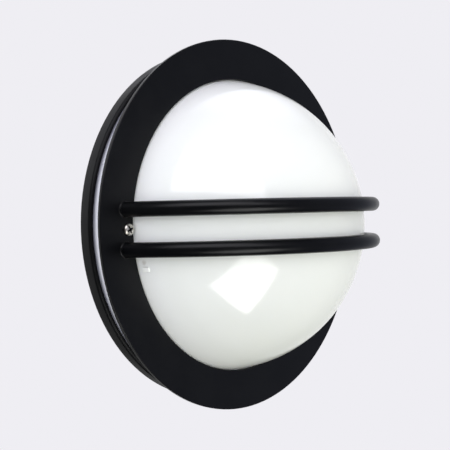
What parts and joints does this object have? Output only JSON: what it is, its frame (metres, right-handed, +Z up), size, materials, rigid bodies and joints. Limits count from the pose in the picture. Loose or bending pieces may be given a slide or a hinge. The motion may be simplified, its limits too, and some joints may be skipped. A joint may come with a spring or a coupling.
{
  "type": "outdoor ceiling light",
  "caption": "Round surface-mounted outdoor light: a black pan and flat ring hold an opal dome, with two bent guard bars across it and a screw-cap lamp inside.",
  "frame": {"origin": "centre of the pan's back face, on the wall or ceiling", "axes": "-Y out of the wall, towards the front of the dome; +Z up, square to the two guard bars; X along the bars"},
  "size_m": [0.25, 0.1162, 0.25],
  "materials": {
    "black_coat": "satin black powder coat",
    "opal": "glossy opal moulding",
    "screw_metal": "nickel-plated steel",
    "zinc": "zinc-plated steel",
    "white_coat": "gloss white coat",
    "seal_rubber": "matt seal rubber",
    "holder_black": "black thermoset moulding",
    "porcelain": "cream porcelain",
    "contact_brass": "bright brass",
    "lamp_glass": "opal glass",
    "cap_metal": "bright cap metal",
    "block_plastic": "natural white nylon",
    "wire_brown": "brown insulation",
    "wire_blue": "blue insulation",
    "wire_green": "green and yellow insulation"
  },
  "bodies": {
    "root": {"base_pan": "black_coat", "wall_gasket": "seal_rubber", "cable_grommet": "seal_rubber", "rim_gasket": "seal_rubber", "diffuser": "opal", "front_ring": "black_coat", "guard_bar_upper": "black_coat", "guard_bar_lower": "black_coat", "ring_screw_left": "screw_metal", "ring_screw_right": "screw_metal", "screw_seals": "seal_rubber", "reflector_tray": "white_coat", "tray_screws": "screw_metal", "holder_bracket": "zinc", "bracket_rivets": "zinc", "holder_nipple": "zinc", "holder_locknut": "zinc", "holder_dome": "holder_black", "holder_insert": "porcelain", "holder_skirt": "holder_black", "centre_contact": "contact_brass", "side_contact": "contact_brass", "lamp_bulb": "lamp_glass", "lamp_cap": "cap_metal", "lamp_insulator": "holder_black", "lamp_contact": "cap_metal", "terminal_block": "block_plastic", "terminal_clamps": "contact_brass", "terminal_screws": "zinc", "block_screws": "screw_metal", "cord_clamp": "block_plastic", "clamp_screws": "screw_metal", "earth_screw": "screw_metal", "earth_washer": "zinc", "earth_lug": "cap_metal", "wire_bush": "seal_rubber", "wire_live": "wire_brown", "wire_neutral": "wire_blue", "wire_earth": "wire_green"}
  },
  "joints": []
}
